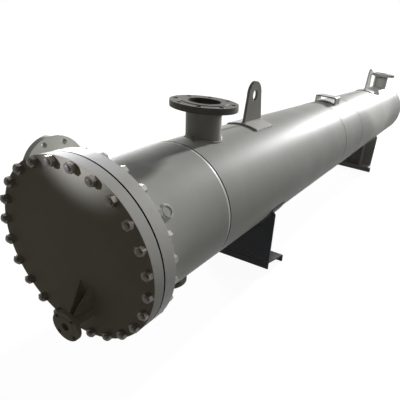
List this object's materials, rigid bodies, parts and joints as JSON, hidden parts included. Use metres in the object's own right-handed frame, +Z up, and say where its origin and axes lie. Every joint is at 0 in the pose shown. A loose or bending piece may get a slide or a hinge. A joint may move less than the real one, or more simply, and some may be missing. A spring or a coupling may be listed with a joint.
{
  "type": "shell and tube heat exchanger",
  "caption": "Horizontal shell and tube heat exchanger on two saddles, with a bolted flat channel cover, a dished rear end, flanged nozzles and lifting lugs.",
  "frame": {"origin": "on the floor, in the middle of the front foot of the front saddle", "axes": "+Z up, +Y along the vessel from the bolted cover to the dished end, +X towards the side with the coupling"},
  "size_m": [1.062, 6.551, 1.269],
  "materials": {
    "vessel_paint": "silver-grey semi-gloss paint over rolled plate",
    "flange_paint": "silver-grey semi-gloss paint over machined plate",
    "nozzle_paint": "silver-grey semi-gloss paint",
    "fastener_paint": "grey paint over steel studs and nuts",
    "saddle_paint": "silver-grey paint over welded plate",
    "gasket": "dark fibre sheet",
    "inner_steel": "bare steel with light rust"
  },
  "bodies": {
    "root": {"baffles": "inner_steel", "body_gasket": "gasket", "bottom_nozzle_flange": "nozzle_paint", "bottom_nozzle_neck": "nozzle_paint", "channel_barrel": "vessel_paint", "channel_coupling": "nozzle_paint", "channel_flange": "flange_paint", "channel_plug": "nozzle_paint", "cover_nozzle_flange": "nozzle_paint", "cover_nozzle_gussets": "nozzle_paint", "cover_nozzle_neck": "nozzle_paint", "cover_nuts": "fastener_paint", "cover_plate": "flange_paint", "cover_studs": "fastener_paint", "front_saddle_base": "saddle_paint", "front_saddle_ribs": "saddle_paint", "front_saddle_wear_plate": "saddle_paint", "front_saddle_web": "saddle_paint", "lug_front": "vessel_paint", "lug_front_pad": "vessel_paint", "lug_rear": "vessel_paint", "lug_rear_pad": "vessel_paint", "nameplate_bracket": "vessel_paint", "pass_partition": "inner_steel", "rear_head": "vessel_paint", "rear_saddle_base": "saddle_paint", "rear_saddle_ribs": "saddle_paint", "rear_saddle_wear_plate": "saddle_paint", "rear_saddle_web": "saddle_paint", "shell_front": "vessel_paint", "shell_middle": "vessel_paint", "shell_rear": "vessel_paint", "side_nozzle_flange": "nozzle_paint", "side_nozzle_neck": "nozzle_paint", "top_nozzle_front_flange": "nozzle_paint", "top_nozzle_front_neck": "nozzle_paint", "top_nozzle_rear_flange": "nozzle_paint", "top_nozzle_rear_neck": "nozzle_paint", "tube_bundle": "inner_steel", "tube_sheet": "vessel_paint"}
  },
  "joints": []
}
